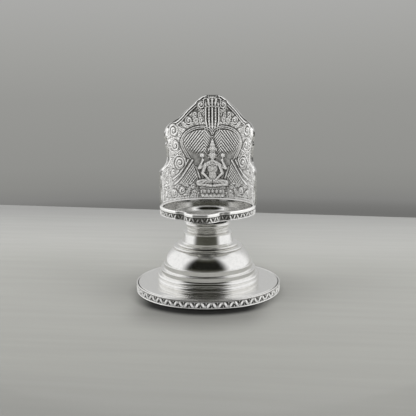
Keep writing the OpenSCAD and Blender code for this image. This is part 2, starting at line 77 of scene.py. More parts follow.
def grey(value, warmth=0.0):
    """Linear colour of a display grey from 0 to 255, a little yellow by its warmth"""
    level = [max(0, value + shift * warmth) / 255 for shift in (0, 0, -1)]
    return (*[v / 12.92 if v < 0.04045 else ((v + 0.055) / 1.055) ** 2.4 for v in level], 1)


class Tone:
    """A socket of a material's nodes, so that a finish can be written as plain sums"""

    def __init__(self, tree, socket=None):
        self.tree = tree
        self.socket = socket

    def node(self, kind, values=(), out=0, **settings):
        """Adds a node with its settings, and the values or links of its sockets"""
        made = self.tree.nodes.new("ShaderNode" + kind)
        for name, setting in settings.items():
            setattr(made, name, setting)
        for key, value in dict(values).items():
            if isinstance(value, Tone):
                self.tree.links.new(value.socket, made.inputs[key])
            else:
                made.inputs[key].default_value = value
        return Tone(self.tree, made.outputs[out] if len(made.outputs) else None)

    def maths(self, operation, *others):
        return self.node("Math", enumerate((self, *others)), operation=operation)

    __add__ = __radd__ = partialmethod(maths, "ADD")
    __sub__ = partialmethod(maths, "SUBTRACT")
    __rsub__ = partialmethod(maths, "MULTIPLY_ADD", -1)
    __mul__ = __rmul__ = partialmethod(maths, "MULTIPLY")
    __truediv__ = partialmethod(maths, "DIVIDE")
    __abs__ = partialmethod(maths, "ABSOLUTE")

    def step(self, low, high, kind="SMOOTHSTEP"):
        """Goes from 0 below low to 1 above high, softly or evenly"""
        return self.node("MapRange", {"Value": self, "From Min": low, "From Max": high},
                         interpolation_type=kind)

    def blend(self, first, second):
        """From the first colour to the second, as this value goes from 0 to 1"""
        return self.node("Mix", {0: self, 6: first, 7: second}, 2, data_type="RGBA")

    def ramp(self, *stops):
        """A grey that follows this value, by stops of a place, a display grey and its warmth"""
        made = self.node("ValToRGB", {0: self})
        marks = made.socket.node.color_ramp.elements
        while len(marks) < len(stops):
            marks.new(1)
        for mark, (place, *shade) in zip(marks, stops):
            mark.position = place
            mark.color = grey(*shade)
        return made

    def parts(self):
        """Its three coordinates"""
        return [self.node("SeparateXYZ", {0: self}, k) for k in range(3)]

    def coat(self, values):
        """Covers the material with one surface"""
        surface = self.node("BsdfPrincipled", values)
        surface.node("OutputMaterial", {"Surface": surface})


def blank(owner):
    """Empties the node tree of a material or the world, to start from"""
    owner.use_nodes = True
    owner.node_tree.nodes.clear()
    return Tone(owner.node_tree)


# The room: soft light panels stand at both sides, the front is dark where the camera stands,
# and a plain grey wall closes the back. Only bright metal sees the panels; the table gets plain light.
# Each side of the room changes in brightness from the horizon up to overhead.
bpy.context.scene.world = bpy.data.worlds.new("room")
air = blank(bpy.context.scene.world)
look_x, look_y, look_z = air.node("TexCoord", out="Generated").parts()
level = (look_x * look_x + look_y * look_y).maths("SQRT")
before = ((0 - look_y) / level - look_z / level * 0.06).step(0.34, 0.74)
behind = (look_y / level).step(0.55, 0.97)
dark_front = look_z.ramp(
    (0, 104, 5), (0.12, 88, 8), (0.2, 40, 9), (0.3, 13, 7), (0.7, 13, 7), (0.79, 34, 8), (0.84, 66, 8),
    (0.906, 104, 6), (0.966, 140, 4), (1, 143, 3))
light_side = look_z.ramp((0, 246), (0.76, 242), (0.83, 226), (0.906, 194), (0.966, 152), (1, 143, 3))
dull_back = look_z.ramp((0, 188, 2), (0.5, 196), (0.8, 180), (0.95, 152), (1, 143, 3))
wall = look_z.step(-0.17, 0.14, "LINEAR").ramp(
    (0, 113, 2), (0.03, 119, 2), (0.065, 131, 2), (0.13, 139, 3), (0.23, 145, 3), (0.55, 152, 3),
    (0.77, 161, 3), (1, 170, 2))
plain_light, metal_light, wall_light = [
    air.node("Background", {"Color": colour, "Strength": strength}) for colour, strength in (
        (grey(255), 0.72), (before.blend(behind.blend(light_side, dull_back), dark_front), 1), (wall, 1))]
is_glossy, is_camera = [air.node("LightPath", out=f"Is {ray} Ray") for ray in ("Glossy", "Camera")]
light = air.node("MixShader", {0: is_glossy, 1: plain_light, 2: metal_light})
light = air.node("MixShader", {0: is_camera, 1: light, 2: wall_light})
light.node("OutputWorld", {"Surface": light})
for name, place, size, power in (
        ("lamp_left", (-0.55, -0.1, 0.4), 0.4, 1.8), ("lamp_right", (0.55, -0.1, 0.4), 0.4, 1.8),
        ("lamp_top", (0, 0.32, 0.62), 0.5, 0.8), ("lamp_front", (0.12, -0.85, 0.42), 0.5, 4)):
    lamp = placed(name, bpy.data.lights.new(name, "AREA"))
    lamp.data.size = size
    lamp.data.energy = power
    lamp.location = place
    lamp.rotation_euler = Vector(place).to_track_quat("Z", "Y").to_euler()
    lamp.visible_glossy = False

# The table: a plain pale top whose far edge shows behind the lamp. Its paint holds painted light,
# a little brighter halfway back, and a painted shadow close to the foot, less so at the foot's sides.
table_edge = 0.207
table_turn = radians(-5.8)
table_half = 1.5
table_drop = 0.00005
foot_shade_r = 0.0334
foot_shade_front = 0.0045
contact_shade = 0.55
wide_shade = 0.42
side_shade_loss = 0.8
top_tone = 0.675
streak_tone = 0.12


def modelled(name, work):
    """Puts a modelled mesh into the scene as an object"""
    shape = bpy.data.meshes.new(name)
    work.to_mesh(shape)
    work.free()
    return placed(name, shape)


work = bmesh.new()
bmesh.ops.create_grid(work, x_segments=1, y_segments=1, size=table_half)
bmesh.ops.translate(work, verts=work.verts, vec=(0, table_edge - table_half, -table_drop))
bmesh.ops.rotate(work, verts=work.verts, matrix=Matrix.Rotation(table_turn, 3, "Z"))
table = modelled("table", work)
top_paint = bpy.data.materials.new("table_top")
top = blank(top_paint)
place = top.node("TexCoord", out="Object")
across, depth = place.parts()[:2]
# Painted light: the top is painted brighter halfway back than at the front and at the far edge
tint_and_painted_light = depth.step(-0.13, 0.21, "LINEAR").ramp(
    (0, 153, 4), (0.12, 164, 5), (0.38, 175, 5), (0.5, 180, 5), (0.66, 189, 4), (0.82, 184, 3), (1, 168, 2))
brushed = top.node("Mapping", {"Vector": place, "Scale": (2, 30, 1)})
streaks = top.node("TexNoise", {"Vector": brushed, "Scale": 6, "Detail": 3})
# Painted shadow round the foot: darkest just in front of it, lighter at its sides
along = depth + foot_shade_front
off_foot = (across * across + along * along).maths("SQRT") - foot_shade_r
shade = (off_foot.step(0, 0.005) * -contact_shade + off_foot.step(0.001, 0.028) * -wide_shade
         + (contact_shade + wide_shade))
shade = 1 - shade * (1 - abs(across).step(0.02, 0.034) * side_shade_loss)
tint_and_painted_light = top.node("VectorMath", {0: tint_and_painted_light, "Scale": (streaks * streak_tone + top_tone) * shade},
                operation="SCALE")
top.coat({"Base Color": tint_and_painted_light, "Roughness": 0.6, "Specular IOR Level": 0.2})
table.data.materials.append(top_paint)

# A dark card lies on the table in front of the lamp, for the polished metal alone to see:
# it gives the neck, the swelling and the bowl's lip their dark accents.
card_near = 0.125
card_far = 0.24
card_lift = 0.0003
card_half_turn = radians(50)
work = bmesh.new()
ends = [work.verts.new((0, -distance, card_lift)) for distance in (card_near, card_far)]
start = [*ends, work.edges.new(ends)]
bmesh.ops.rotate(work, verts=ends, matrix=Matrix.Rotation(-card_half_turn, 3, "Z"))
bmesh.ops.spin(work, geom=start, axis=(0, 0, 1), cent=(0, 0, 0), angle=2 * card_half_turn, steps=24)
card = modelled("dark_card", work)
card.visible_camera = card.visible_diffuse = card.visible_shadow = False
card_paint = bpy.data.materials.new("card_paint")
blank(card_paint).coat({"Base Color": grey(38, 8), "Roughness": 0.9})
card.data.materials.append(card_paint)

# Foot: spun from one sheet of white metal, from the rolled edge over a wide flange, two rings,
# two steps and a dome to two collar rings. It is polished on the outside.
MM = 0.001
foot_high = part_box("foot_shell")[1]
foot_r = foot_high.x / MM
crown_z = foot_high.z / MM
sheet_t = 0.8
roll_h = 0.6
strip_t = 0.6
edge_r = foot_r - strip_t
edge_lean = 0.5
flange_r = edge_r - edge_lean
flange_z = 4.2
ring_round = 0.3
plinth_r = 24
plinth_ring_h = 2.1
plinth_z = flange_z + 2 * plinth_ring_h
groove_depth = 0.55
step_r = 22.4
step_z = plinth_z + 2.3
dome_step_r = 21
dome_z = step_z + 2.6
dome_sunk = 2.1
dome_mid = (9.7, dome_z - dome_sunk)
dome_curve_r = 11
collar_low_r = 16.3
collar_high_r = 14.3
collar_h = 1.35
shoulder_z = crown_z - 2 * collar_h
bore_r = 2
line_half = 1.2
line_r = (flange_r + plinth_r) / 2 + line_half
lathe_steps = 256
crease_angle = radians(38)


def arc(middle, radius, start, end, steps=10):
    """Points of radius and height along an arc, from one angle in degrees to another"""
    turns = [radians(start + (end - start) * i / steps) for i in range(steps + 1)]
    return [(middle[0] + radius * cos(a), middle[1] + radius * sin(a)) for a in turns]


def rolled(radius, low, high, depth, steps=12):
    """Section of one rolled ring: a bulge that stands out by depth between two heights"""
    return [(radius - depth + depth * sin(pi * i / steps) ** 0.8, low + (high - low) * i / steps)
            for i in range(steps + 1)]


def held(section, grip=0.1):
    """The section with a point close to each end of its long straight runs, which keeps them flat"""
    points = []
    for (r, z), (next_r, next_z) in zip(section, section[1:] + section[:1]):
        length = hypot(next_r - r, next_z - z)
        points.append((r, z))
        if length > 6 * grip:
            points += [(r + (next_r - r) * grip * k / length, z + (next_z - z) * grip * k / length)
                       for k in (1, length / grip - 1)]
    return points


def shown(name, work):
    """Puts a piece into the scene, smooth and with its faces turned outwards"""
    bmesh.ops.recalc_face_normals(work, faces=work.faces)
    piece = modelled(name, work)
    piece.data.shade_smooth()
    return piece


def step_of(points, steps):
    """Which step of the round each point lies on, counted from behind"""
    return np.round((np.arctan2(points[:, 0], -points[:, 1]) + pi) / (2 * pi) * steps).astype(int) % steps


def ringed(name, rounds, steps=lathe_steps, closed=True):
    """Builds a wall through level rounds; each is a radius, or radii all the way round, and a height"""
    work = bmesh.new()
    bmesh.ops.create_circle(work, segments=steps, radius=1)
    edges = [list(work.edges)]
    for _ in rounds[1:]:
        grown = bmesh.ops.extrude_edge_only(work, edges=edges[-1])["geom"]
        ends = {part for part in grown if isinstance(part, bmesh.types.BMVert)}
        bmesh.ops.translate(work, verts=list(ends), vec=(0, 0, 1))
        edges.append([part for part in grown
                      if isinstance(part, bmesh.types.BMEdge) and ends.issuperset(part.verts)])
    if closed:
        bmesh.ops.bridge_loops(work, edges=edges[0] + edges[-1])
    else:
        for loop in (edges[0], edges[-1]):
            bmesh.ops.edgeloop_fill(work, edges=loop)
    piece = shown(name, work)
    points = corners(piece) * MM
    step = step_of(points, steps)
    turn = step * 2 * pi / steps - pi
    at = np.round(points[:, 2]).astype(int)
    radii = np.array([np.broadcast_to(radius, steps) for radius, height in rounds])[at, step]
    heights = np.array([height for radius, height in rounds])[at]
    move_corners(piece, np.stack([radii * np.sin(turn), -radii * np.cos(turn), heights], 1))
    piece.data.set_sharp_from_angle(angle=crease_angle)
    return piece


def corners(piece):
    """Corner points of a piece's mesh, in mm"""
    points = np.empty(len(piece.data.vertices) * 3, np.float32)
    piece.data.vertices.foreach_get("co", points)
    return points.reshape(-1, 3).astype(float) / MM


def move_corners(piece, points):
    """Moves the corner points, given in mm, and turns all faces outwards"""
    piece.data.vertices.foreach_set("co", (points * MM).astype(np.float32).ravel())
    work = bmesh.new()
    work.from_mesh(piece.data)
    bmesh.ops.recalc_face_normals(work, faces=work.faces)
    work.to_mesh(piece.data)
    work.free()
    piece.data.update()


def worked_metal(name, shade, rough, dents, deep=0.0):
    """Bare metal with faint dents, rubbed patches and fine scratches; deep darkens the hollows with tarnish
    and painted shade, and the crests are made less metallic, a painted highlight
    """
    made = bpy.data.materials.new(name)
    start = blank(made)
    metallic = 1
    place = start.node("TexCoord", out="Object")
    wobble = start.node("TexNoise", {"Vector": place, "Scale": 260, "Detail": 2})
    rubbed = start.node("TexNoise", {"Vector": place, "Scale": 700, "Detail": 5, "Roughness": 0.6})
    turned = start.node("Mapping", {"Vector": place, "Scale": (60, 60, 9000)})
    scratches = start.node("TexNoise", {"Vector": turned, "Scale": 1, "Detail": 3})
    height = wobble * dents + scratches * 0.02
    bump = start.node("Bump", {"Strength": 0.35, "Distance": 0.0002, "Height": height})
    roughness = rough + rubbed.step(0.45, 0.75) * 0.06 + scratches.step(0.55, 0.8) * 0.04
    colour = rubbed.step(0.35, 0.8).blend(shade, [c * 0.94 for c in shade[:3]] + [1])
    if deep:
        mark = start.node("Attribute", out="Fac", attribute_name="hollow")
        hollow = mark.maths("MAXIMUM", 0)
        crest = (0 - mark).maths("MAXIMUM", 0)
        # Tarnish and painted shade: the hollows are painted nearly black
        colour = (hollow * deep).blend(colour, (0.04, 0.038, 0.03, 1))
        roughness = roughness + hollow * 0.25
        # Painted highlight: the crests are made less metallic, so they render whiter
        metallic = 0.8 - crest * 0.6
    start.coat({"Base Color": colour, "Metallic": metallic, "Roughness": roughness, "Normal": bump})
    return made


def dress(piece, material, *nodes, slot="white_metal"):
    """Gives a piece its finish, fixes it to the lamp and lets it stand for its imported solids"""
    piece.data.materials.append(material)
    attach(piece, "root")
    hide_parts(*nodes)


bright = (0.93, 0.925, 0.91, 1)
polished = worked_metal("polished_white_metal", bright, 0.13, 0.05)
dome_low = degrees(asin(dome_sunk / dome_curve_r))
dome_high = degrees(asin((shoulder_z - dome_mid[1]) / dome_curve_r))
foot_outside = [
    *arc((foot_r - roll_h / 2, roll_h / 2), roll_h / 2, -90, 90), (edge_r, roll_h),
    (flange_r, flange_z - ring_round),
    *arc((flange_r - ring_round, flange_z - ring_round), ring_round, 0, 90, 6),
    *[(line_r + line_half - 2 * line_half * i / 8, flange_z + ring_round / 2 * sin(pi * i / 8))
      for i in range(9)],
    *rolled(plinth_r, flange_z, flange_z + plinth_ring_h, groove_depth),
    *rolled(plinth_r, flange_z + plinth_ring_h, plinth_z, groove_depth), (step_r, plinth_z),
    *arc((step_r - ring_round, step_z - ring_round), ring_round, 0, 90, 6), (dome_step_r, step_z),
    *arc((dome_step_r - ring_round, dome_z - ring_round), ring_round, 0, 90, 6),
    *arc(dome_mid, dome_curve_r, dome_low, dome_high, 24),
    *rolled(collar_low_r, shoulder_z, shoulder_z + collar_h, collar_h / 2),
    *rolled(collar_high_r, shoulder_z + collar_h, crown_z, collar_h / 2)]
foot_inside = [
    (bore_r, crown_z), (bore_r, crown_z - sheet_t),
    (collar_high_r - collar_h / 2 - sheet_t, crown_z - sheet_t),
    *arc(dome_mid, dome_curve_r - sheet_t, dome_high, dome_low, 12),
    (step_r - sheet_t, step_z - sheet_t), (step_r - sheet_t, plinth_z - sheet_t),
    (plinth_r - groove_depth - sheet_t, plinth_z - sheet_t),
    (plinth_r - groove_depth - sheet_t, flange_z - sheet_t),
    (flange_r - sheet_t, flange_z - ring_round - sheet_t), (flange_r - sheet_t, 0)]
dress(ringed("spun_foot", held(foot_outside + foot_inside)), polished, "foot_shell")

# Strip round the foot's edge: thin white metal stamped with a running vine and its leaves,
# bent round the edge and soldered.
strip_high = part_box("foot_strip")[1].z / MM
strip_h = strip_high - roll_h
strip_rows = 16
strip_turns = 86
strip_steps = 17 * strip_turns
strip_depth = 0.42
ground_tarnish_and_shade = 1.5
crest_painted_highlight = 3.4
seam = 0.02


def hump(distance, width):
    """Soft round ridge, 1 in its middle and 0 from its width outwards"""
    return np.where(distance < width, (1 + np.cos(pi * np.minimum(distance / width, 1))) / 2, 0)


def dome(distance):
    """Full round boss, 1 in its middle and 0 from 1 outwards"""
    return np.sqrt(np.clip(1 - distance ** 2, 0, 1))


def vine(run, rise):
    """Height of the vine's leaf, stem and bud over one turn of the pattern; rise goes from -1 to 1"""
    share = run % 1 - 0.5
    lean = 1 - 2 * (run // 1 % 2)
    across = (share - 0.17 * lean * np.sin(pi / 2 * rise)) * 1.9
    leaf = dome(np.hypot(across / 0.5, rise / 0.92)) * (1 - 0.4 * hump(np.abs(across), 0.15))
    stem = 0.75 * hump(np.abs(rise - 0.75 * lean * np.sin(2 * pi * share)), 0.24)
    bud = 0.9 * dome(np.hypot((np.abs(share) - 0.5) * 1.9, rise - 0.6 * lean) / 0.3)
    return np.maximum(leaf, np.maximum(stem, bud))


def mark_hollow(piece, hollow):
    """Stores how deep each point lies in the stamped work, from -1 on its crests, which take a painted
    highlight, to 1 in its hollows, which take tarnish and painted shade
    """
    mark = piece.data.attributes.new("hollow", "FLOAT", "POINT")
    mark.data.foreach_set("value", np.clip(hollow, -1, 1).astype(np.float32))


strip_front = [(foot_r - strip_depth, roll_h + strip_h * i / strip_rows) for i in range(strip_rows + 1)]
strip_back = [(edge_r + seam, strip_high), (edge_r + seam, roll_h)]
strip = ringed("stamped_strip", strip_front + strip_back, strip_steps)
points = corners(strip)
radius = np.hypot(points[:, 0], points[:, 1])
turn = np.arctan2(points[:, 1], points[:, 0])
rise = (points[:, 2] - roll_h) / strip_h * 2 - 1
pattern = vine(turn / (2 * pi) * strip_turns + 0.3, rise)
pattern = np.maximum(pattern, 0.75 * hump(np.abs(np.abs(rise) - 1), 0.14))
pattern = np.where(radius > edge_r + 0.1, pattern, 0)
points[:, :2] *= ((radius + strip_depth * pattern) / radius)[:, None]
move_corners(strip, points)
# Tarnish and painted shade in the strip's ground, a painted highlight on its vine
mark_hollow(strip, ground_tarnish_and_shade - pattern * crest_painted_highlight)
strip.data.shade_smooth()
# Stamped metal: tarnish and painted shade in its hollows, a painted highlight on its crests
stamped = worked_metal("stamped_white_metal", bright, 0.22, 0.05, 0.94)
dress(strip, stamped, "foot_strip")

# Bead along the top of the strip: a round wire bent to a ring and soldered down.
bead_low, bead_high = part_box("foot_bead")
bead_r = (bead_high.z - bead_low.z) / 2 / MM
bead_middle = (bead_high.x / MM - bead_r, bead_low.z / MM + bead_r)
dress(ringed("edge_bead", arc(bead_middle, bead_r, 0, 345, 23), 360), polished, "foot_bead")

# Base disc and fixings: the disc closes the foot from below, and the stud, its washer and nut draw
# foot, stem and bowl together. They are plain metal and turned brass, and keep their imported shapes.
rolled_sheet = worked_metal("plain_rolled_sheet", (0.62, 0.62, 0.6, 1), 0.32, 0.12)
turned_brass = worked_metal("turned_brass", (0.78, 0.56, 0.27, 1), 0.25, 0.08)
for node in ("foot_base_disc", "bowl_boss", "tie_stud", "tie_washer", "tie_nut"):
    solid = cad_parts[node]
    solid.data.materials.clear()
    solid.data.materials.append(rolled_sheet if node == "foot_base_disc" else turned_brass)

# Stem: a hollow bell with two rings on its neck, and a swelling cup above it that carries the bowl.
# Both are spun, polished and held by the stud.
bell_z = crown_z + 4.9
neck_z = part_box("stem_bell")[1].z / MM
bowl_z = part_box("stem_swell")[1].z / MM
bell_low_r = 12.3
bell_top_r = 11.1
bell_flare = 0.45
neck_r = 9.9
swell_r = 10.4
boss_hole_r = 4.7
neck_half = (bell_z + neck_z) / 2
bell_section = [
    (bell_low_r, crown_z), (bell_low_r - 0.1, crown_z + 0.15),
    (bell_low_r - bell_flare, crown_z + bell_flare),
    (bell_top_r, bell_z - 2 * ring_round),
    *arc((bell_top_r, bell_z - ring_round), ring_round, -90, 90, 8),
    *rolled(neck_r, bell_z, neck_half, groove_depth), *rolled(neck_r, neck_half, neck_z, groove_depth),
    (boss_hole_r, neck_z), (boss_hole_r, neck_z - sheet_t),
    (neck_r - groove_depth - sheet_t, neck_z - sheet_t),
    (neck_r - groove_depth - sheet_t, bell_z - sheet_t), (bell_top_r - sheet_t, bell_z - sheet_t),
    (bell_low_r - sheet_t, crown_z)]
dress(ringed("spun_bell", held(bell_section)), polished, "stem_bell")
swell_section = [
    *rolled(swell_r, neck_z, bowl_z, groove_depth, 16), (boss_hole_r, bowl_z), (boss_hole_r, neck_z)]
dress(ringed("spun_swell", held(swell_section)), polished, "stem_swell")

# Bowl: pressed from one sheet, a round shallow pan that runs out into a tongue for the wick,
# with a sharp crease on each side of it. The cup inside has a channel into the tongue.
rim_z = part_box("bowl_lip")[1].z / MM
lip_r = 0.6
band_h = 3.1
band_z = rim_z - lip_r - band_h
band_t = 0.6
bowl_t = 0.8
bowl_r = 22.3
bowl_flat_r = 9
cup_r = 13.9
cup_nose_r = 5.8
cup_soft = 0.6
cup_t = 0.3
spout_r = 8.2
spout_y = spout_r - bowl_r - 5.7
crease_r = 1.6
crease_out = bowl_r + crease_r * 2 / 3
crease_turn = asin((spout_r + crease_r + 0.7) / crease_out)
plan_steps = 1200
plan_turns = np.linspace(-pi, pi, plan_steps, endpoint=False)


def plan_radius(grow):
    """Distance of the bowl's outline from the axis, all the way round, grown or shrunk by a margin"""
    reach = (spout_r + grow) ** 2 - (spout_y * np.sin(plan_turns)) ** 2
    tongue = -spout_y * np.cos(plan_turns) + np.sqrt(np.maximum(reach, 0))
    outline = np.maximum(bowl_r + grow, np.where((reach > 0) & (np.abs(plan_turns) < 1), tongue, 0))
    for side in (-1, 1):
        off = plan_turns - side * crease_turn
        cut = (crease_r - grow) ** 2 - (crease_out * np.sin(off)) ** 2
        near = crease_out * np.cos(off) - np.sqrt(np.maximum(cut, 0))
        outline = np.where((cut > 0) & (np.abs(off) < 1), np.minimum(outline, near), outline)
    return np.convolve(np.concatenate([outline[-2:], outline, outline[:2]]), np.ones(5) / 5, "valid")


def pan_loops(margin, lift, top, rounds, height):
    """Loops of one face of the bowl, from its flat middle out to its wall and up to the top"""
    outline = plan_radius(-margin)
    loops = []
    for r in rounds:
        even = max(0, (r - bowl_flat_r) / (bowl_r - bowl_flat_r)) ** 2
        radii = r / bowl_r * ((1 - even) * np.minimum(outline, bowl_r) + even * outline)
        loops.append((radii, height(r)))
    loops += [(outline, band_z + lift + 0.1), (outline, top - 0.1), (outline, top)]
    return loops


def underside(r):
    """Height of the bowl's underside, which curves up to the wall"""
    return bowl_z + (band_z - bowl_z) * sin(pi / 2 * max(0, r - bowl_flat_r) / (bowl_r - bowl_flat_r))


brim_z = band_z + bowl_t
outside = pan_loops(band_t, 0, rim_z - lip_r, np.linspace(0.2, bowl_r, 20), underside)
cup_rounds = [*np.linspace(0.2, cup_r - 1.3, 12), *np.linspace(cup_r - 1.1, cup_r + 1.1, 17),
              *np.linspace(cup_r + 1.5, bowl_r, 11)]
inside = pan_loops(band_t + bowl_t, bowl_t, rim_z - lip_r, cup_rounds,
                   lambda r: max(bowl_z + bowl_t, underside(r) + cup_t))
bowl = ringed("pressed_bowl", outside + inside[::-1], plan_steps, False)
points = corners(bowl)
spread = np.clip(1 - points[:, 1] / spout_y, 0, 1)
off_cup = (np.hypot(points[:, 0], points[:, 1] - spout_y * (1 - spread))
           - cup_nose_r - (cup_r - cup_nose_r) * spread)
pressed = 0.5 + 0.5 * np.tanh(1.4 * off_cup / cup_soft)
dished = (np.arange(len(points)) >= len(outside) * plan_steps) & (points[:, 2] < brim_z)
points[:, 2] += np.where(dished, (brim_z - points[:, 2]) * pressed, 0)
move_corners(bowl, points)
bowl.data.set_sharp_from_angle(angle=radians(50))
dress(bowl, polished, "bowl_dish")

# Band round the bowl's wall: a thin strip stamped with leaves that lean to both sides in turn, between
# a fine line below and a plain border above. It is soldered on below the lip.
band_rows = 20
band_leaves = 74
band_depth = 0.4


def leaves(run, rise):
    """Height of the leaves and the beads between them; rise goes from -1 to 1"""
    share = run % 1 - 0.5
    rise = (rise + 0.28) / 0.72
    lean = 1 - 2 * (run // 1 % 2)
    across = share * 2.1 - lean * rise * 0.5
    leaf = dome(np.hypot(across / 0.4, rise / 0.95)) * (1 - 0.4 * hump(np.abs(across), 0.14))
    bead = dome(np.hypot((np.abs(share) - 0.5) * 2.1, rise - 0.6 * lean) / 0.26)
    return np.maximum(leaf, 0.9 * bead) * (np.abs(rise) < 1)


def crease_and_nose_shade(points):
    """Where painted shade darkens the metal: from 0 to 1 in both creases and on the nose of the spout"""
    crease = np.hypot(np.abs(points[:, 0]) - crease_out * sin(crease_turn),
                      points[:, 1] + crease_out * cos(crease_turn))
    nose = np.abs(points[:, 0]) + 10 * (points[:, 1] > -20)
    return np.maximum(np.clip((crease_r + 1.5 - crease) / 0.6, 0, 1), np.clip((3.7 - nose) / 0.8, 0, 1))


band_front = [(plan_radius(-band_depth), band_z + band_h * i / band_rows) for i in range(band_rows + 1)]
band_back = [(plan_radius(-band_t + seam), z) for z in (band_z + 0.001, band_z + band_h - 0.001)]
band = ringed("stamped_band", [band_back[0], *band_front, band_back[1]], plan_steps)
points = corners(band)
steps = step_of(points, plan_steps)
outline = plan_radius(0)
way = np.stack([outline * np.sin(plan_turns), -outline * np.cos(plan_turns)], 1)
walk = np.hypot(*(np.roll(way, -1, 0) - way).T)
run = np.concatenate([[0], np.cumsum(walk)[:-1]]) / walk.sum()
out = np.roll(way, -1, 0) - np.roll(way, 1, 0)
out = np.stack([out[:, 1], -out[:, 0]], 1) / np.hypot(*out.T)[:, None]
rise = (points[:, 2] - band_z) / band_h * 2 - 1
pattern = np.maximum(leaves(run[steps] * band_leaves, rise), 0.9 * hump(1 + rise, 0.2))
pattern = np.maximum(pattern, np.clip((rise - 0.48) / 0.1, 0, 0.85))
front = np.hypot(points[:, 0], points[:, 1]) > plan_radius(-(band_t + band_depth) / 2)[steps]
pattern = np.where(front, pattern, 0)
points[:, :2] += out[steps] * (band_depth * pattern)[:, None]
move_corners(band, points)
# Tarnish and painted shade in the band's ground, a painted highlight on its leaves, less of it by the
# creases and the nose
mark_hollow(band, ground_tarnish_and_shade - pattern * crest_painted_highlight * (1 - 0.6 * crease_and_nose_shade(points)))
band.data.shade_smooth()
dress(band, stamped, "bowl_band")

# Lip: a bright half-round wire soldered along the bowl's edge, all the way round pan and spout,
# with painted shade in the creases and on the nose, and a painted highlight all along.
lip_half = (band_t + bowl_t) / 2
lip_turns = [radians(-20 + 220 * i / 18) for i in range(19)]
lip_loops = [(plan_radius(-lip_half + lip_half * 1.05 * cos(a)), rim_z - lip_r + lip_r * max(0, sin(a)))
             for a in lip_turns]
lip = ringed("bright_lip", lip_loops, plan_steps)
points = corners(lip)
# Painted shade in the creases and on the nose below the lip's top, a painted highlight elsewhere
mark_hollow(lip, 1.5 * crease_and_nose_shade(points) * np.clip((rim_z - points[:, 2]) / lip_r * 2, 0, 1) - 0.6)
lip_metal_painted_light_and_shade = worked_metal("lip_white_metal_painted_light_and_shade", bright, 0.13, 0.05, 0.9)
dress(lip, lip_metal_painted_light_and_shade, "bowl_lip")

# Back plate, rear sheet: plain polished white metal bent to a half round and cut to the same outline
# as the stamped sheet in front of it, which is sweated on.
plate_r = 22.7
backing_t = 0.6
plate_low, plate_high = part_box("plate_backing")
plate_h = (plate_high.z - plate_low.z) / MM
outline_sides, outline_rises = zip(
    (1, 0), (1, 0.306), (0.83, 0.336), (0.745, 0.375), (0.725, 0.42), (0.74, 0.5), (0.775, 0.533),
    (0.745, 0.572), (0.79, 0.61), (0.785, 0.655), (0.74, 0.7), (0.665, 0.735), (0.555, 0.76),
    (0.465, 0.8), (0.37, 0.86), (0.28, 0.91), (0.2, 0.957), (0.145, 0.988), (0.09, 1))
front_cuts = 12


def half_round(name, columns, rows, front_r, back_r, die=None, window=None):
    """Bends a closed flat sheet round the axis. It is cut to the plate's outline, or to a window of
    some half width, foot and height. Stamped in a die, its front is cut finer and takes the die's form"""
    work = bmesh.new()
    bmesh.ops.create_grid(work, x_segments=columns, y_segments=rows, size=1)
    raised = bmesh.ops.extrude_face_region(work, geom=work.faces[:])["geom"]
    raised = [part for part in raised if isinstance(part, bmesh.types.BMVert)]
    bmesh.ops.translate(work, verts=raised, vec=(0, 0, 1))
    if die:
        front = {line for face in work.faces if all(point.co.z > 0.5 for point in face.verts)
                 for line in face.edges}
        bmesh.ops.subdivide_edges(work, edges=list(front), cuts=front_cuts, use_grid_fill=True)
    sheet = shown(name, work)
    flat = corners(sheet) * MM
    around, up = flat[:, 0], (flat[:, 1] + 1) / 2
    if window:
        half_w, foot, tall = window
        around, up = around * half_w, foot + up * tall
    else:
        around = around * np.interp(up, outline_rises, outline_sides) * pi / 2 * front_r
        up = up * plate_h
    turn = around / front_r
    height = die.read(die.height, around, up) if die else 0
    r = np.where(flat[:, 2] > 0.5, front_r - height, back_r)
    move_corners(sheet, np.stack([r * np.sin(turn), r * np.cos(turn), up + rim_z], 1))
    sheet.data.set_sharp_from_angle(angle=radians(60))
    return sheet


backing_r = plate_r - backing_t
dress(half_round("plain_backing", 96, 80, backing_r, plate_r), polished, "plate_backing")

# Back plate, front sheet: thin white metal stamped in a cut steel die with scrolls, leaves, beads
# and a ribbed heart-shaped halo. Its hollows are darkened with tarnish and painted shade.
relief_t = 0.45
relief_r = backing_r - relief_t
DEG = radians(1) * relief_r


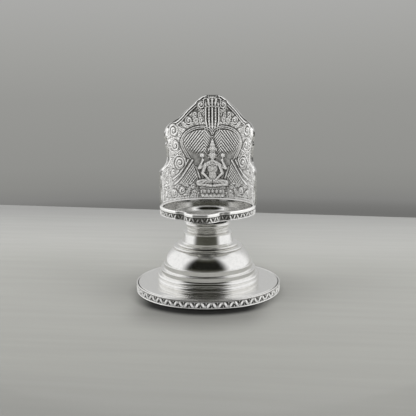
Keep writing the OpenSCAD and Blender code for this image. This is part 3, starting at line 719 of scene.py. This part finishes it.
class Die:
    """A stamping die: heights in mm over a flat field, cut motif by motif"""
    sunk_depth = 0.12
    sunk_painted_shade = 0.9

    def __init__(self, half_width, low, high, grain, ground, dull_and_painted_shade, unit):
        self.x = np.arange(-half_width, half_width + grain, grain)
        self.z = np.arange(low, high + grain, grain)
        self.grain = grain
        self.unit = unit
        self.height = np.full((len(self.z), len(self.x)), float(ground))
        self.dull_and_painted_shade = np.full(self.height.shape, dull_and_painted_shade)

    def windows(self, bounds, sides=(1, -1)):
        """The part of the field inside the bounds and its mirror image: its side, slices and places"""
        left, right, low, high = bounds
        rows = slice(*np.searchsorted(self.z, (low, high)))
        for side in sides:
            columns = slice(*np.searchsorted(self.x, sorted((side * left, side * right))))
            yield side, (rows, columns), *np.meshgrid(side * self.x[columns], self.z[rows])

    def cut(self, shape, bounds, mirrored=True, added=False):
        """Cuts a motif, and its mirror image on the other side, or adds it to what is there"""
        for side, part, x, z in self.windows(bounds, (1, -1) if mirrored else (1,)):
            made = shape(x, z)
            if added:
                once = (x > 0) | (side > 0) & ((x == 0) | (not mirrored))
                self.height[part] += np.where(once, made, 0)
            else:
                self.dull_and_painted_shade[part] *= made <= self.height[part]
                self.height[part] = np.maximum(self.height[part], made)

    def sink(self, line, width):
        """Sinks the ground near a line and its mirror image and darkens it with painted shade, so that the
        next cut stands out
        """
        for side, part, x, z in self.windows(around_box(line, width)):
            near = off_line(x, z, line)[0] < width
            self.height[part] -= near * (self.height[part] + self.sunk_depth)
            self.dull_and_painted_shade[part] = np.where(near, self.sunk_painted_shade, self.dull_and_painted_shade[part])

    def lay(self, shape, area):
        """Gives the field a new height, and dullness with painted shade, inside a closed line and its
        mirror image
        """
        for _, part, x, z in self.windows(around_box(area, self.grain)):
            inside = (x > 0) & within(x, z, area)
            for field, value in zip((self.height, self.dull_and_painted_shade), shape(x, z)):
                field[part] = np.where(inside, value, field[part])

    def read(self, field, x, z):
        """Value between the points of the field"""
        column = np.clip((x - self.x[0]) / self.grain, 0, len(self.x) - 1.001)
        row = np.clip((z - self.z[0]) / self.grain, 0, len(self.z) - 1.001)
        i, j = column.astype(int), row.astype(int)
        u, v = column - i, row - j
        return ((1 - v) * ((1 - u) * field[j, i] + u * field[j, i + 1])
                + v * ((1 - u) * field[j + 1, i] + u * field[j + 1, i + 1]))

    def softened(self, field, reach):
        """A field averaged over a reach in mm"""
        width = max(1, int(reach / self.grain))
        span = 2 * width + 1
        for _ in ("up", "across"):
            sums = np.pad(field, ((width + 1, width), (0, 0)), "edge").cumsum(0)
            field = ((sums[span:] - sums[:-span]) / span).T
        return field

    def hollows(self, reach, gain):
        """How deep each place lies among its neighbours, from -1 to 1, and how dull and darkened with
        painted shade its field is
        """
        field = np.maximum(self.height, -0.2)
        mean = self.softened(field, reach)
        spread = np.sqrt(np.maximum(self.softened(field ** 2, reach) - mean ** 2, 0))
        depth = np.clip((mean - field) / (spread + 0.04) * gain, -1, 1)
        return np.maximum(depth, np.where(self.dull_and_painted_shade > 0, self.dull_and_painted_shade, -1))


# The plate's ground is dull and a little darkened with painted shade until a motif is cut over it
plate_die = Die(36, -0.5, 52, grain=0.1, ground=0.0, dull_and_painted_shade=0.4, unit=(DEG, 1))


def flowing(points, unit):
    """A smooth line through given places"""
    line = np.array(points, float) * unit
    line = np.vstack([2 * line[0] - line[1], line, 2 * line[-1] - line[-2]])
    smooth = []
    for a, b, c, d in zip(line, line[1:], line[2:], line[3:]):
        for t in np.arange(0, 1, 1 / 8):
            smooth.append(0.5 * (2 * b + (c - a) * t + (2 * a - 5 * b + 4 * c - d) * t * t
                                 + (3 * b - a - 3 * c + d) * t ** 3))
    return np.array(smooth + [line[-2]])


def off_line(x, z, line):
    """Distance of each place from a line, and how far along the line its nearest point is"""
    nearest = np.full(x.shape, 1e9)
    along = np.zeros(x.shape)
    walked = 0
    for a, b in zip(line, line[1:]):
        step = b - a
        length = hypot(*step)
        share = np.clip(((x - a[0]) * step[0] + (z - a[1]) * step[1]) / length ** 2, 0, 1)
        distance = np.hypot(x - a[0] - share * step[0], z - a[1] - share * step[1])
        along = np.where(distance < nearest, walked + share * length, along)
        nearest = np.minimum(nearest, distance)
        walked += length
    return nearest, along


def within(x, z, line):
    """True for places inside a closed line"""
    inside = np.zeros(x.shape, bool)
    for a, b in zip(line, np.roll(line, -1, 0)):
        crosses = (a[1] > z) != (b[1] > z)
        inside ^= crosses & (x < a[0] + (b[0] - a[0]) * (z - a[1]) / (b[1] - a[1] + 1e-9))
    return inside


def around_box(line, margin):
    """Bounds of a line with a margin: left, right, low, high"""
    low, high = line.min(0) - margin, line.max(0) + margin
    return low[0], high[0], low[1], high[1]


def cut_ridge(points, width, height, clear=0.0, offset=0.0):
    """Cuts a smooth ridge, or a pair of ridges to both sides of a flowing line, clear of its neighbours in
    a sunk ground with painted shade
    """
    line = flowing(points, plate_die.unit)
    if clear:
        plate_die.sink(line, width + offset + clear)

    def shape(x, z):
        off = np.abs(off_line(x, z, line)[0] - offset)
        return np.where(off < width, height * hump(off, width), -1)

    plate_die.cut(shape, around_box(line, width + offset))


def cut_beads(die, points, pitch, radius, height, added=False):
    """Cuts a row of round beads along a flowing line"""
    line = flowing(points, die.unit)

    def shape(x, z):
        distance, along = off_line(x, z, line)
        off = np.hypot(distance, along % pitch - pitch / 2) / radius
        return np.where(off < 1, height * dome(off), 0 if added else -1)

    die.cut(shape, around_box(line, radius), added=added)


def cut_leaf(root, tip, width, height, lobes=5):
    """Cuts a pointed leaf with a sunk vein and lobed sides, from its root to its tip"""
    line = np.array([root, tip]) * plate_die.unit
    root, tip = line
    way = tip - root
    length = hypot(*way)

    def shape(x, z):
        along = ((x - root[0]) * way[0] + (z - root[1]) * way[1]) / length ** 2
        across = np.abs((z - root[1]) * way[0] - (x - root[0]) * way[1]) / length
        share = np.clip(along, 0.001, 0.999)
        side = width * np.sin(pi * share ** 0.75) * (0.8 + 0.2 * np.cos(2 * pi * lobes * share))
        body = np.sqrt(np.clip(1 - (across / np.maximum(side, 0.05)) ** 2, 0, 1))
        veins = 0.85 + 0.15 * np.cos(2 * pi * (lobes * share - across / width))
        inside = (along > 0) & (along < 1) & (across < side)
        return np.where(inside, height * (body * veins - 0.5 * hump(across, 0.3)), -1)

    plate_die.cut(shape, around_box(line, width))


def cut_round(middle, radius, height, form):
    """Cuts a round motif; form gives its height by the distance from its middle and the turn"""
    at = np.array(middle) * plate_die.unit

    def shape(x, z):
        off = np.hypot(x - at[0], z - at[1]) / radius
        return np.where(off < 1, height * form(off, np.arctan2(z - at[1], x - at[0])), -1)

    plate_die.cut(shape, around_box(at[None], radius))


def cut_curl(middle, radius, turns, start, height, hand=1):
    """Cuts a spiral scroll that winds in to an eye"""

    def form(off, turn):
        wave = 0.5 + 0.5 * np.cos(2 * pi * (off * turns - (hand * turn / (2 * pi) - start)))
        return np.maximum((0.35 + 0.65 * wave) * np.clip((1 - off) * 5, 0, 1), 1.1 * dome(off * 4))

    cut_round(middle, radius, height, form)


def cut_flower(middle, radius, petals, height):
    """Cuts a small flower of round petals about a bead"""

    def form(off, turn):
        petal = dome(off) * (0.6 + 0.4 * np.cos(petals * turn)) * (1 - 0.9 * hump(np.abs(off - 0.42), 0.16))
        return np.maximum(petal, dome(off * 2.9))

    cut_round(middle, radius, height, form)


punch_pitch = 1.25
ground_pitch = 2.6


def punched(x, z):
    """Matted ground between the motifs: small round punch marks in staggered, swaying rows"""
    x = np.abs(x) + 0.5 * np.sin(0.8 * z)
    row = z / punch_pitch + 0.35 * np.sin(0.7 * x)
    across = (x / punch_pitch + 0.5 * (np.floor(row) % 2)) % 1 - 0.5
    return 0.2 - 0.42 * hump(np.hypot(across, row % 1 - 0.5), 0.46)


plate_die.height += punched(*np.meshgrid(plate_die.x, plate_die.z))
for row in range(22):
    for column in range(15):
        x = (column + row % 2 / 2) * ground_pitch
        at = ((x + 0.4 * sin(row * 2.1)) / DEG, (row + 0.3) * ground_pitch * 0.92 + 0.4 * sin(x * 0.7))
        if (row * 2 + column) % 3:
            cut_curl(at, ground_pitch * 0.56, 1.3, 0.37 * row + 0.61 * column, 0.45, (-1) ** row)
        else:
            lean = sin(row * 1.7 + column)
            cut_leaf(at, (at[0] + 2.6 * lean, at[1] + 1.9), 0.55, 0.5, 3)
# Heart-shaped halo with ribs that fall outwards, herringbone at the middle and a plain field below, dull
# and darkened with painted shade
halo = [(0, 31.9), (2.5, 33.6), (8, 34.8), (15, 35.1), (26, 34.3), (36, 32.3), (42, 29.4), (42.5, 27.2),
        (39.5, 24.6), (35, 21.8), (30, 18.8), (25.5, 15.2)]
rib_slant = radians(50)
rib_pitch = 1.16


def ribbed(x, z, pitch, way=1):
    """Ribs that fall outwards, or rise outwards with way at -1, as a wave from 0 to 1"""
    return np.sin(pi * (x * sin(rib_slant) + way * z * cos(rib_slant)) / pitch) ** 2


def halo_ribs(x, z):
    """Height of the halo's field, and its dullness and painted shade; its ribs are crossed low outside"""
    crossed = np.clip((x - 8) / 3, 0, 1) * np.clip((29 - z) / 3, 0, 1)
    ribs = ribbed(x, z, rib_pitch) * (1 - crossed * 0.75 * (1 - ribbed(x, z, rib_pitch, -1)))
    middle = np.clip((4.6 - x) / 0.6, 0, 1)
    ribs = np.clip(1.6 * (ribs * (1 - middle) + ribbed(x, z, 0.95, -1) * middle) - 0.3, 0, 1)
    plain = np.clip((23.4 - z + (x - 8) * 0.25) / 2, 0, 1)
    dull_and_painted_shade = 0.42 + 0.2 * np.sin(1.9 * x + 1.2 * np.sin(1.3 * z)) * np.sin(1.6 * z)
    return 0.42 * ribs * (1 - plain) - 0.1 * plain, np.clip(dull_and_painted_shade * plain, 0, 1)


plate_die.lay(halo_ribs, np.vstack([flowing(halo, (DEG, 1)), [(0, 14)], [(0, 31.9)]]))
cut_ridge(halo, 0.34, 0.85, clear=0.6, offset=0.4)
# Ribbed leaf below the halo under smooth ribbons, and a double wire along the edge up to the crest
lower_leaf = [(16, 9), (22, 14.5), (27, 17.8), (33, 16), (42, 11), (46, 8.5), (38, 7.5), (26, 8)]
plate_die.lay(lambda x, z: (0.45 * ribbed(x, z, 1.05) * (0.35 + 0.65 * ribbed(x, z, 1.3, -1)), 0 * x),
              np.array(lower_leaf) * (DEG, 1))
edge = [(side * 90, rise * plate_h) for side, rise in zip(outline_sides, outline_rises)]
for line, width, height, clear in (
        ([(27, 18.8), (36, 14.2), (45, 10.3), (55, 7.8)], 0.6, 0.7, 0.6),
        ([(33, 19.2), (41, 15), (49, 12.2), (58, 10.4)], 0.5, 0.65, 0.5),
        ([(22, 15.5), (17, 10), (15, 6.5)], 0.5, 0.65, 0.5),
        ([(a * 0.965, z - 1.6) for a, z in edge[8:]], 0.4, 0.55, 0.6),
        ([(a, z - 0.5) for a, z in edge[8:]], 0.5, 0.7, 0.3),
        ([(a * 0.985, z) for a, z in edge[1:9]], 0.55, 0.65, 0),
        ([(88.5, 0.5), (88.5, 6), (88.5, 15)], 0.5, 0.65, 0)):
    cut_ridge(line, width, height, clear)
# Scrolls and leaves up the sides
curl_clear = 0.45
for *middle, radius, turns, start, hand in (
        (57, 33.8, 3.4, 2, 0.1, -1), (54, 26.6, 2.7, 1.7, 0.4, 1), (46.5, 18, 3.1, 2, 0.2, -1),
        (58, 13.6, 1.8, 1.3, 0.3, 1), (32, 38.4, 1.9, 1.4, 0.6, 1), (15, 45.9, 2, 1.5, 0.15, -1),
        (56, 3.4, 2.1, 1.5, 0.5, 1), (43, 4.4, 1.9, 1.4, 0.1, -1), (64, 28.3, 1.5, 1.2, 0.7, 1)):
    at = np.array(middle) * plate_die.unit
    # Painted shade in a sunk ring round each scroll
    plate_die.sink(np.array([at, at + 0.01]), radius + curl_clear)
    cut_curl(middle, radius, turns, start, 0.8, hand)
cut_ridge([(36, 17.2), (40, 20.2), (47, 21.7), (55, 20.7), (60, 17.6)], 0.45, 0.6)
cut_ridge([(47, 29.6), (55, 30.4), (63, 31.4), (70, 30.2)], 0.4, 0.6)
cut_ridge([(44, 24.4), (50, 23.2), (58, 22.8), (64, 24.4)], 0.4, 0.6)
for *ends, wide in (
        (52, 30.5, 70, 28, 1.3), (48, 24.6, 66, 22.5, 1.2), (60, 20, 64, 13.5, 1.3),
        (46, 31.5, 50, 37.4, 1.2), (70, 5.5, 82, 1, 1.4), (66, 9.5, 60, 4, 1.2), (36, 2, 30, 6.2, 1.1),
        (22, 1.6, 29, 1.9, 1), (82, 12, 86, 5.5, 1), (20, 36.2, 27, 42.4, 1.3), (26, 36, 36, 40, 1.2),
        (33, 35, 44, 38.2, 1.1), (15, 36.4, 18, 43.5, 1.2), (38, 33.2, 50, 35.3, 1.1),
        (13, 42, 21, 46.2, 1)):
    cut_leaf(ends[:2], ends[2:], wide, 0.65)
# Fluted column above the cusp, with beaded bars, and the fan at the crest
column_foot = 33.2
bar_pitch = 4.4
fan_foot = 45.2
fan_top = 49.3
fan_middle = 36.5
fan_turn = radians(9.6)


def column(x, z):
    share = x / (DEG * bar_pitch) * (1 + 0.4 * np.clip((38 - z) / 5, 0, 1))
    bars = np.clip(1.2 * np.cos(2 * pi * share) + 0.35, 0, 1)
    knots = 0.7 + 0.3 * np.cos(2 * pi * z / 1.4) * (np.floor(share + 0.5) % 2)
    ends = np.clip((z - column_foot) / 1.5, 0, 1) * np.clip((fan_foot - z) / 0.6, 0, 1)
    return np.where(bars * ends > 0.02, 0.7 * bars * knots * ends, -1)


def fan(x, z):
    share = np.arctan2(x, z - fan_middle) / fan_turn
    bars = np.clip(1.2 * np.cos(2 * pi * share) + 0.35, 0, 1)
    return 0.7 * bars * np.clip((z - fan_foot + 0.2) / 0.6, 0, 1) * np.clip((fan_top - z) / 0.7, 0, 1)


# Painted shade in the sunk gaps between the column's bars
for gap in (bar_pitch / 2, bar_pitch * 3 / 2):
    plate_die.sink(np.array([(gap * DEG, column_foot + 3.5), (gap * DEG, fan_foot - 1)]), 0.6)
plate_die.cut(column, (-10.5 * DEG, 10.5 * DEG, column_foot - 0.2, fan_foot), mirrored=False)
plate_die.cut(fan, (-9.5 * DEG, 9.5 * DEG, fan_foot - 0.2, fan_top + 0.1), mirrored=False)
cut_ridge([(0, 45.2), (5, 45.1), (10, 44.6)], 0.42, 0.8)
cut_ridge([(9.6, 49.2), (11.5, 48), (10.8, 45.8)], 0.45, 0.7)
# Bosses, flowers and beads down the lower edges
cut_flower((79, 15), 1, 6, 0.9)
cut_flower((72, 13.4), 1.2, 6, 0.9)
cut_flower((75, 8), 2.6, 8, 1)
cut_beads(plate_die, [(12, 0.7), (30, 0.6), (55, 0.6), (86, 0.6)], 0.95, 0.4, 0.6)

sheet_front = half_round("stamped_sheet", 26, 19, relief_r, backing_r - seam, plate_die)
dress(sheet_front, stamped, "plate_relief")

# Seated figure on a lotus at the middle of the plate, raised from the same sheet with finer punches.
# Its head is the measure of its limbs, its face calm and plain.
# The figure's ground is dull and darkened with painted shade until a motif is cut over it
figure_die = Die(9.2, 0, 30.2, grain=0.05, ground=-0.36, dull_and_painted_shade=0.85, unit=(1, 1))


def cut_masses(*masses, base=0, added=False):
    """Raises rounded masses of the figure, or adds small ones to what is there. Each has its place
    aside and above the base, its half width and half height, and its height"""
    for aside, above, half_w, half_h, height in masses:
        middle = base + above

        def shape(x, z):
            off = np.hypot((x - aside) / half_w, (z - middle) / half_h)
            return np.where(off < 1, height * dome(off), 0 if added else -1)

        figure_die.cut(shape, (aside - half_w, aside + half_w, middle - half_h, middle + half_h),
                       aside != 0, added)


def cut_limbs(*limbs, base=0, added=False):
    """Raises limbs from joint to joint: both places, then both half widths and both heights"""
    for *joints, start_w, end_w, start_height, end_height in limbs:
        line = np.array(joints, float).reshape(2, 2) + (0, base)
        length = hypot(*(line[1] - line[0]))

        def shape(x, z):
            distance, along = off_line(x, z, line)
            share = along / length
            off = distance / (start_w + (end_w - start_w) * share)
            height = start_height + (end_height - start_height) * share
            return np.where(off < 1, height * dome(off), 0 if added else -1)

        figure_die.cut(shape, around_box(line, max(start_w, end_w)), added=added)


petal_pitch = 2.05


def petals(x, z):
    """Lotus petals under the seat: a hanging and a rising row, each with a second row behind it.
    A petal ends in a point and turns outwards there"""
    made = np.full(x.shape, -1.0)
    for base, tip, start, height in (
            (2.3, 0.2, 0.5, 0.6), (2.2, 4.6, 0, 0.65), (2.3, 0.4, 0, 0.85), (2.2, 4.3, 0.5, 1.0)):
        share = np.abs((x / petal_pitch + start) % 1 - 0.5) * 2
        rise = np.clip((z - base) / (tip - base), 0, 1)
        width = np.sqrt(np.clip(1 - rise ** 2.6, 0.0001, 1)) * (0.8 + 0.25 * rise)
        petal = height * (0.5 + 0.5 * rise) * dome(share / width) ** 0.8
        inside = (share < width) & (rise > 0) & (rise < 1) & (np.abs(x) < 6.2)
        made = np.where(inside, np.maximum(made, petal), made)
    return made


figure_die.cut(petals, (-6.4, 6.4, 0.2, 4.4), mirrored=False)
cut_beads(figure_die, [(-0.01, 4.6), (2.8, 4.8), (5.2, 5.6), (6.9, 6.8)], 0.62, 0.32, 1.1)
# Edge of the seat, crossed legs and feet, with the folds of the cloth over them
cut_limbs((0, 4.9, 6.2, 5.2, 0.7, 0.6, 0.8, 0.7), (1.2, 8.4, 7, 7.6, 1.8, 1.5, 1.35, 1.35),
          (7, 7.1, 0.7, 6.1, 1.25, 0.9, 1.45, 1.6))
cut_masses((2.3, 6.4, 1.3, 0.6, 1.75))


def cloth(x, z):
    turn = np.arctan2(10.8 - z, x)
    return 0.09 * np.cos(turn * 24) * (z < 9.4) * (z > 5.4) * (x > 1)


figure_die.cut(cloth, (0, 9, 5, 10), added=True)
# Body, from the hips to the chest; then shoulders and neck, raised arms behind with a lotus bud
# in each hand, and arms in front with the hands laid together in the lap
cut_masses((0, 9.6, 2.7, 1.6, 1.25), (0, 10.9, 2.15, 2.4, 1.35), (0, 12.6, 1.95, 2.6, 1.36),
           (0, 14.9, 2.85, 2.9, 1.45), (1.3, 15.4, 1.3, 1.1, 1.5))
cut_masses((0, 10.7, 0.24, 0.3, -0.14), added=True)
cut_limbs((0, 17.1, 3.3, 16.6, 1.2, 1.15, 1.35, 1.3), (0.05, 17.2, 0, 19.7, 0.95, 0.9, 1.3, 1.3),
          (0.3, 18.5, 2.4, 17.3, 0.75, 0.95, 1.25, 1.3), (3.7, 16.2, 6.8, 15, 0.95, 0.85, 0.85, 0.9),
          (6.8, 15, 5.2, 18.2, 0.8, 0.55, 0.95, 1), (5, 18.6, 5.3, 20.6, 0.22, 0.22, 0.7, 0.7),
          (3.6, 16.4, 5.1, 12.6, 1.08, 0.85, 1.3, 1.3), (5.1, 12.5, 2, 9.4, 0.85, 0.6, 1.35, 1.6),
          (2.2, 9.3, 0.4, 8.7, 0.55, 0.45, 1.65, 1.7))
cut_masses((4.95, 18.8, 0.7, 0.8, 1.1), (4.68, 21.2, 0.52, 0.95, 0.8), (5.92, 21.2, 0.52, 0.95, 0.8),
           (5.3, 21.2, 0.52, 1.3, 1))
# Head: ears with rings, and a face with the eyes at half its height, nose and mouth at the usual
# thirds below them
head_z = 21.35
cut_masses((1.82, -0.1, 0.38, 0.75, 1.05), (1.88, -1.2, 0.36, 0.36, 1.25), (0, 0, 1.8, 2.3, 1.55),
           (0, -0.95, 1.45, 1.35, 1.5), base=head_z)
cut_masses((0.22, -0.75, 0.15, 0.13, 0.1), (0.64, 0.05, 0.42, 0.3, -0.1), (0.64, 0.05, 0.32, 0.16, 0.15),
           (0, -1.8, 0.36, 0.24, 0.09), base=head_z, added=True)
cut_limbs((0, 0.45, 0, -0.72, 0.17, 0.3, 0.1, 0.22), (0.24, 0.42, 0.64, 0.56, 0.1, 0.12, 0.09, 0.1),
          (0.64, 0.56, 1.06, 0.38, 0.12, 0.08, 0.1, 0.08), (0, -1.15, 0.36, -1.2, 0.11, 0.06, 0.12, 0.06),
          (0, -1.4, 0.26, -1.36, 0.12, 0.07, 0.12, 0.07), base=head_z, added=True)
# Crown in three tiers over a beaded band, with a leaf at each side and a jewel in front
cut_masses((1.95, 23.9, 0.45, 0.9, 1), (0, 24.5, 1.95, 1.5, 1.4), (0, 26.3, 1.4, 1.3, 1.25),
           (0, 27.8, 0.85, 0.95, 1.1), (0, 28.8, 0.4, 0.5, 1.05))
cut_limbs((0, 23.3, 1.35, 22.95, 0.3, 0.28, 1.45, 1.3))


def flutes(x, z):
    return 0.08 * np.cos(2 * pi * x / 0.62) * (z < 27.6)


figure_die.cut(flutes, (0, 1.9, 24, 27.6), added=True)
cut_masses((0, 24.6, 0.4, 0.55, 0.25), added=True)
# Beads on the crown's tiers, necklaces, garland, belt, armlets and bracelets
for line, pitch, radius, height in (
        ([(0.1, 23.3), (0.7, 23.2), (1.4, 22.95)], 0.4, 0.18, 0.14),
        ([(0.1, 25.7), (0.8, 25.7), (1.5, 25.6)], 0.5, 0.22, 0.18),
        ([(0.1, 27.2), (0.5, 27.2), (0.9, 27.1)], 0.42, 0.19, 0.16),
        ([(0.1, 18.35), (0.5, 18.45), (0.9, 18.7)], 0.36, 0.17, 0.18),
        ([(0.1, 16.2), (0.9, 16.5), (1.7, 17.6)], 0.44, 0.2, 0.18),
        ([(0.1, 12.4), (1.2, 12.9), (2, 14.6), (2.4, 16.8)], 0.52, 0.25, 0.18),
        ([(0.1, 9.4), (1.2, 9.6), (2.3, 10.1)], 0.5, 0.24, 0.18),
        ([(3.3, 14.5), (4.1, 14.8), (4.9, 15)], 0.42, 0.2, 0.18),
        ([(2.4, 10.5), (2.8, 10.1), (3.1, 9.5)], 0.36, 0.17, 0.18),
        ([(5.2, 16.9), (5.8, 17.2), (6.3, 17.3)], 0.36, 0.17, 0.18),
        ([(0.3, 8.2), (3, 8.6), (6.6, 8.9)], 0.7, 0.28, 0.18)):
    cut_beads(figure_die, line, pitch, radius, height, True)

figure = half_round("seated_figure", 14, 23, relief_r, backing_r - seam, figure_die, (9, 0.1, 29.6))
dress(figure, stamped, "plate_relief")
# Painted shade: the sheet is darkened round the figure's outline, as it is in every other hollow
x, z = np.meshgrid(plate_die.x, plate_die.z)
raised = (figure_die.read(figure_die.height, x, z) > 0) & (np.abs(x) < 9) & (z > 0.1) & (z < 29.7)
plate_die.dull_and_painted_shade = np.maximum(plate_die.dull_and_painted_shade, np.clip(plate_die.softened(raised * 1.0, 0.9) * 1.8, 0, 0.9))
# Tarnish and painted shade in the figure's hollows, a painted highlight on its crests
figure_tone = 0.6 * figure_die.hollows(0.4, 0.9) + 0.7 * figure_die.hollows(1.5, 0.8)
# Tarnish and painted shade in the sheet's hollows, a painted highlight on its crests. Painted light: the
# sheet's flanks are painted brighter than its crest. It is also darker from 37 mm up
flank_painted_light = np.clip((np.abs(x) - 14) / 9, 0, 1) * np.clip((36 - z) / 4, 0, 1)
sheet_tone = plate_die.hollows(0.6, 1.6) - 0.45 * flank_painted_light + 0.3 * np.clip((z - 37) / 4, 0, 1)
for piece, die, tone in ((sheet_front, plate_die, sheet_tone), (figure, figure_die, figure_tone)):
    points = corners(piece)
    around = np.arctan2(points[:, 0], points[:, 1]) * relief_r
    mark_hollow(piece, die.read(tone, around, points[:, 2] - rim_z))
